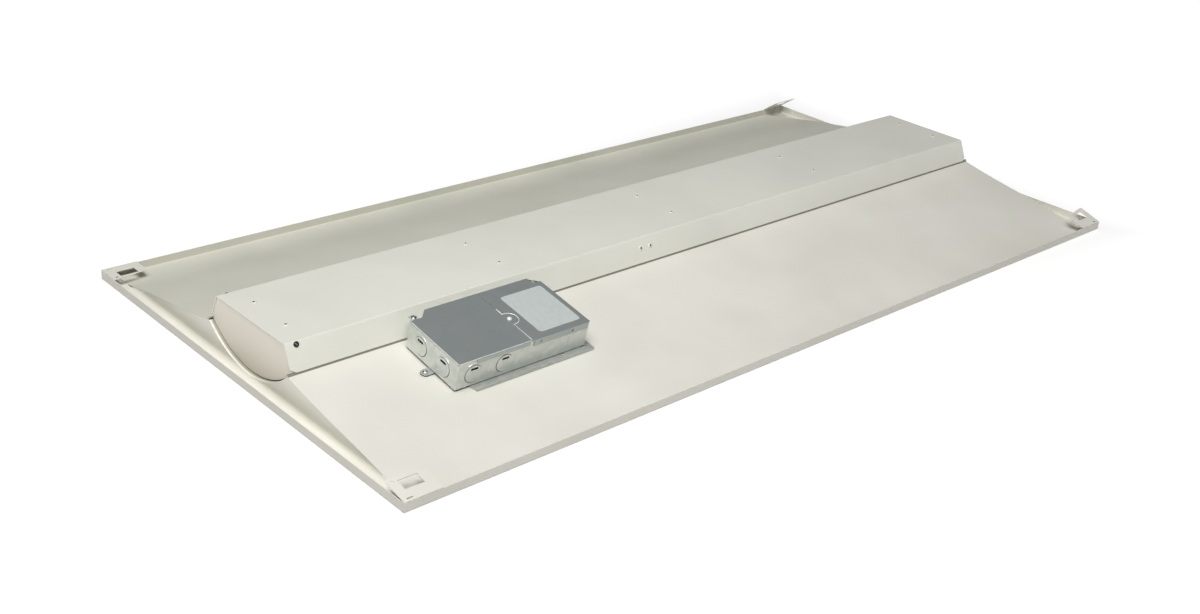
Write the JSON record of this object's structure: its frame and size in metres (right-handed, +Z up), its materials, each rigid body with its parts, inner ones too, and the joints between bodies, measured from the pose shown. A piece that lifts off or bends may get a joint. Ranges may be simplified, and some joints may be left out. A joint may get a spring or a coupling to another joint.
{
  "type": "recessed troffer light",
  "caption": "Lay-in recessed troffer, seen from its back: formed steel wings and end panels, raised centre channel with a curved lens, driver box on one wing and corner grid clips.",
  "frame": {"origin": "centre of the rectangular frame, on the plane of the rim's room side", "axes": "+Z points up into the ceiling void, +Y along the fixture's length, +X across it towards the driver box"},
  "size_m": [0.603, 1.213, 0.0684],
  "materials": {
    "reflector_white": "matt white powder coat on formed steel",
    "channel_white": "matt white powder coat on folded steel",
    "end_white": "matt white powder coat",
    "lens_acrylic": "frosted extruded acrylic",
    "rivet_white": "painted blind rivets",
    "dark_screw": "black zinc",
    "zinc_screw": "bright zinc",
    "nylon_black": "moulded nylon",
    "nylon_natural": "moulded nylon",
    "board_white": "white solder mask",
    "chip_phosphor": "phosphor gel",
    "lead_white": "wire insulation",
    "lead_black": "wire insulation",
    "lead_green": "wire insulation",
    "lead_red": "wire insulation",
    "lead_blue": "wire insulation",
    "galvanised": "hot-dip galvanised sheet",
    "galvanised_dark": "galvanised sheet, blue-grey",
    "driver_case": "white coated case",
    "nut_orange": "moulded splice cap",
    "ground_green": "green dyed screw"
  },
  "bodies": {
    "housing": {"reflector_left": "reflector_white", "reflector_right": "reflector_white", "end_panel_near": "end_white", "end_panel_far": "end_white", "channel_cover": "channel_white", "channel_end_near": "end_white", "channel_end_far": "end_white", "gear_tray": "reflector_white", "tray_rivets": "rivet_white", "end_screws": "dark_screw", "side_rivets": "rivet_white", "lead_clamp": "nylon_black", "led_board_1": "board_white", "led_board_2": "board_white", "led_board_3": "board_white", "led_board_4": "board_white", "led_chips": "chip_phosphor", "board_screws": "zinc_screw", "board_connectors": "nylon_natural", "board_links": "lead_white", "driver_base": "galvanised", "driver_box": "galvanised", "knockouts": "galvanised", "base_screws": "zinc_screw", "led_driver": "driver_case", "driver_screws": "zinc_screw", "lead_black": "lead_black", "lead_white": "lead_white", "lead_green": "lead_green", "lead_red": "lead_red", "lead_blue": "lead_blue", "wire_nuts": "nut_orange", "ground_screw": "ground_green", "lead_sleeve": "nylon_natural"},
    "lens": {"lens": "lens_acrylic"},
    "wiring_cover": {"wiring_cover": "galvanised_dark", "cover_screw": "zinc_screw"},
    "driver_lid": {"driver_lid": "galvanised_dark"},
    "clip_near_right": {"clip_near_right": "reflector_white"},
    "clip_near_left": {"clip_near_left": "reflector_white"},
    "clip_far_right": {"clip_far_right": "reflector_white"},
    "clip_far_left": {"clip_far_left": "reflector_white"}
  },
  "joints": [
    {"name": "clip_near_right_bend", "type": "hinge", "parent": "housing", "child": "clip_near_right", "pos_m": [0.3011, -0.5842, 0.0112], "axis": [0, 1, 0], "range_deg": [-12, 88]},
    {"name": "clip_near_left_bend", "type": "hinge", "parent": "housing", "child": "clip_near_left", "pos_m": [-0.3011, -0.5842, 0.0112], "axis": [0, -1, 0], "range_deg": [0, 100]},
    {"name": "clip_far_right_bend", "type": "hinge", "parent": "housing", "child": "clip_far_right", "pos_m": [0.3011, 0.5842, 0.0112], "axis": [0, 1, 0], "range_deg": [-18, 82]},
    {"name": "clip_far_left_bend", "type": "hinge", "parent": "housing", "child": "clip_far_left", "pos_m": [-0.3011, 0.5842, 0.0112], "axis": [0, -1, 0], "range_deg": [-36, 64]},
    {"name": "wiring_cover_hinge", "type": "hinge", "parent": "housing", "child": "wiring_cover", "pos_m": [0.13867, -0.45315, 0.05861], "axis": [0.9848, 0, -0.1736], "range_deg": [0, 105]},
    {"name": "driver_lid_lift", "type": "slide", "parent": "housing", "child": "driver_lid", "axis": [0.1736, 0, 0.9848], "range_m": [0, 0.045]},
    {"name": "lens_drop", "type": "slide", "parent": "housing", "child": "lens", "axis": [0, 0, 1], "range_m": [-0.07, 0]}
  ]
}
